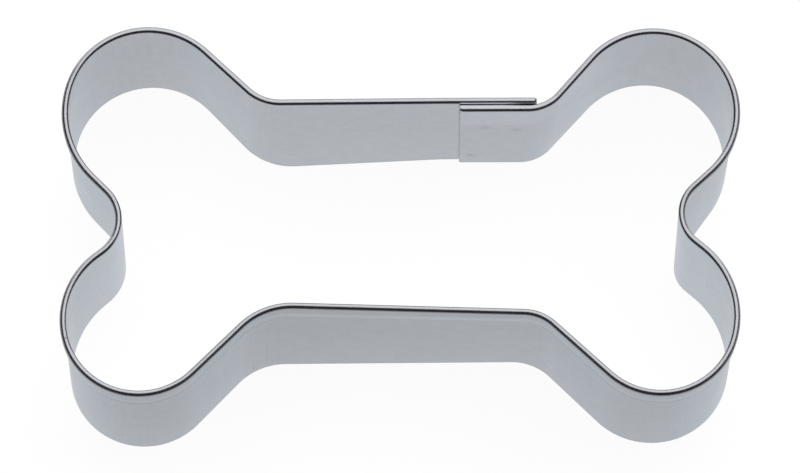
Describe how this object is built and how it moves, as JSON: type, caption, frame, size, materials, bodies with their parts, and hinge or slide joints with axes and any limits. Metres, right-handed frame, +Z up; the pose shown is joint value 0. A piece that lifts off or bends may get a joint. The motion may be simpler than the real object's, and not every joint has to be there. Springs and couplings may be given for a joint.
{
  "type": "cookie cutter",
  "caption": "Bone-shaped pastry cutter: a thin steel strip bent on edge, hemmed round the top, plain cutting edge below, ends lapped and spot-welded on one long side.",
  "frame": {"origin": "below the middle of the whole cutter, on the plane of the cutting edge", "axes": "+X along the bone, +Y towards the long side with the lap joint, +Z up from the cutting edge to the hem"},
  "size_m": [0.0794, 0.0452, 0.0215],
  "materials": {
    "sheet_steel": "bright rolled sheet, fine lines along the strip",
    "weld_steel": "dull fused spot"
  },
  "bodies": {
    "root": {"cutter_strip": "sheet_steel", "spot_weld_low": "weld_steel", "spot_weld_left": "weld_steel", "spot_weld_right": "weld_steel"}
  },
  "joints": []
}
